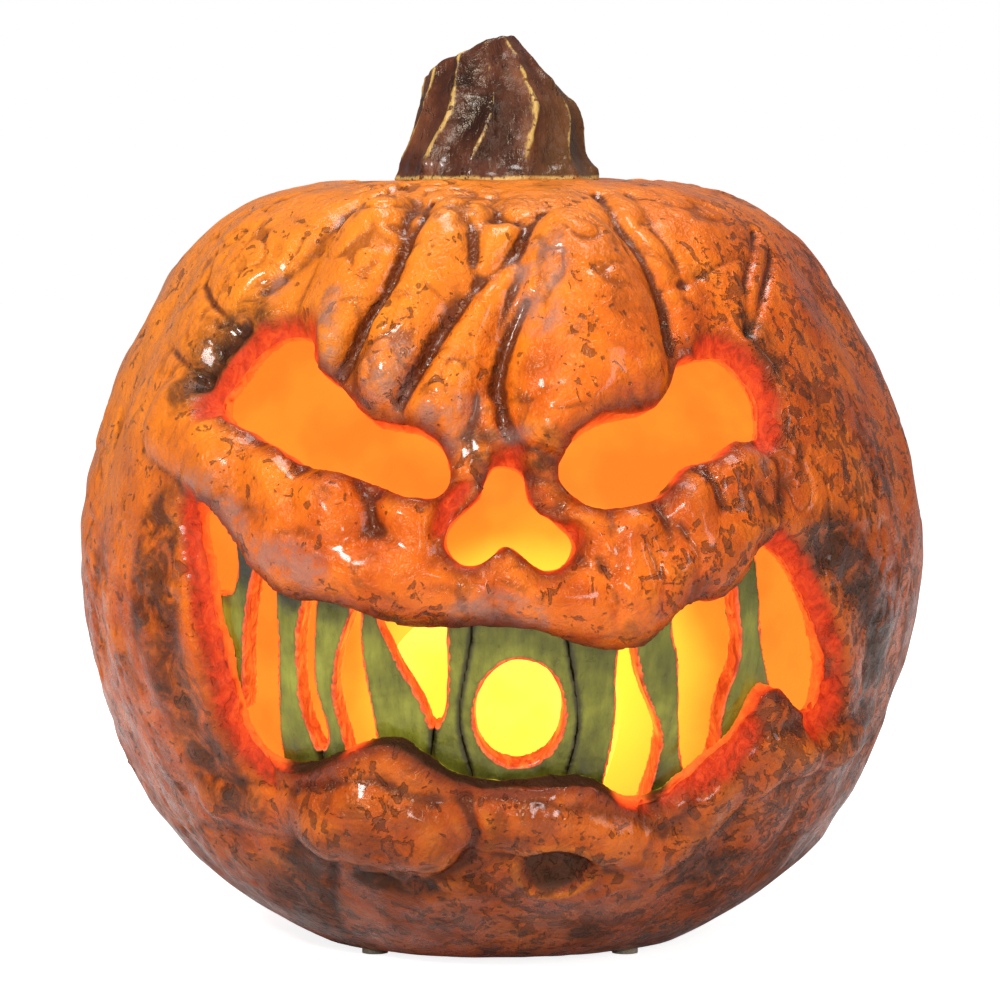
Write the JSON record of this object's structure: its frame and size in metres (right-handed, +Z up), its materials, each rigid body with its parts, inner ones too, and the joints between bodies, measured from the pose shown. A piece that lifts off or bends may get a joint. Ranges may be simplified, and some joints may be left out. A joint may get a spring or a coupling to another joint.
{
  "type": "carved pumpkin lantern",
  "caption": "Hollow clay pumpkin lantern with a scowling carved face, a ribbed stem, separate teeth and a battery light unit in its base.",
  "frame": {"origin": "on the ground under the middle of the pumpkin, level with the soles of the foot pads", "axes": "+Z up to the stem, the face looks along -Y, +X to the viewer's right"},
  "size_m": [0.23, 0.2266, 0.247],
  "materials": {
    "painted_clay": "glossy orange paint over rough clay, dark brown in the pits",
    "stem_clay": "dark brown with gold dry-brushed ridges",
    "tooth_clay": "olive green, charred dark at the edges",
    "housing_plastic": "fine moulded texture",
    "cover_plastic": "satin",
    "screw_steel": "zinc plated",
    "gasket_rubber": "soft foam",
    "globe_plastic": "frosted, lit from inside",
    "circuit_board": "solder mask",
    "lamp_lens": "moulded lens, lit",
    "component_plastic": "moulded",
    "red_lead": "smooth insulation",
    "black_lead": "smooth insulation",
    "battery_jacket": "printed film",
    "contact_steel": "nickel plated",
    "pin_steel": "drawn wire",
    "switch_plastic": "moulded",
    "knob_plastic": "moulded, ribbed",
    "foot_rubber": "felt-like foam"
  },
  "bodies": {
    "root": {"shell_front_left_lower": "painted_clay", "shell_front_right_lower": "painted_clay", "shell_back_left_lower": "painted_clay", "shell_back_right_lower": "painted_clay", "shell_front_left_upper": "painted_clay", "shell_front_right_upper": "painted_clay", "shell_back_left_upper": "painted_clay", "shell_back_right_upper": "painted_clay", "stem": "stem_clay", "tooth_1": "tooth_clay", "tooth_2": "tooth_clay", "tooth_3": "tooth_clay", "tooth_4": "tooth_clay", "tooth_5": "tooth_clay", "tooth_6": "tooth_clay", "tooth_7": "tooth_clay", "tooth_8": "tooth_clay", "tooth_9": "tooth_clay", "light_housing": "housing_plastic", "housing_cover": "cover_plastic", "cover_screws": "screw_steel", "flange_gasket": "gasket_rubber", "diffuser_globe": "globe_plastic", "led_board": "circuit_board", "leds": "lamp_lens", "control_board": "circuit_board", "board_components": "component_plastic", "positive_battery_lead": "red_lead", "negative_battery_lead": "black_lead", "positive_led_lead": "red_lead", "negative_led_lead": "black_lead", "battery_1": "battery_jacket", "battery_2": "battery_jacket", "battery_3": "battery_jacket", "plate_contacts": "contact_steel", "spring_contacts": "contact_steel", "door_hinge_pin": "pin_steel", "switch_body": "switch_plastic", "foot_pads": "foot_rubber"},
    "battery_door": {"battery_door": "housing_plastic"},
    "switch_knob": {"switch_knob": "knob_plastic"}
  },
  "joints": [
    {"name": "battery_door_hinge", "type": "hinge", "parent": "root", "child": "battery_door", "pos_m": [0, 0.0297, 0.00255], "axis": [1, 0, 0], "range_deg": [0, 100]},
    {"name": "switch_slide", "type": "slide", "parent": "root", "child": "switch_knob", "axis": [0, 1, 0], "range_m": [0, 0.004]}
  ]
}
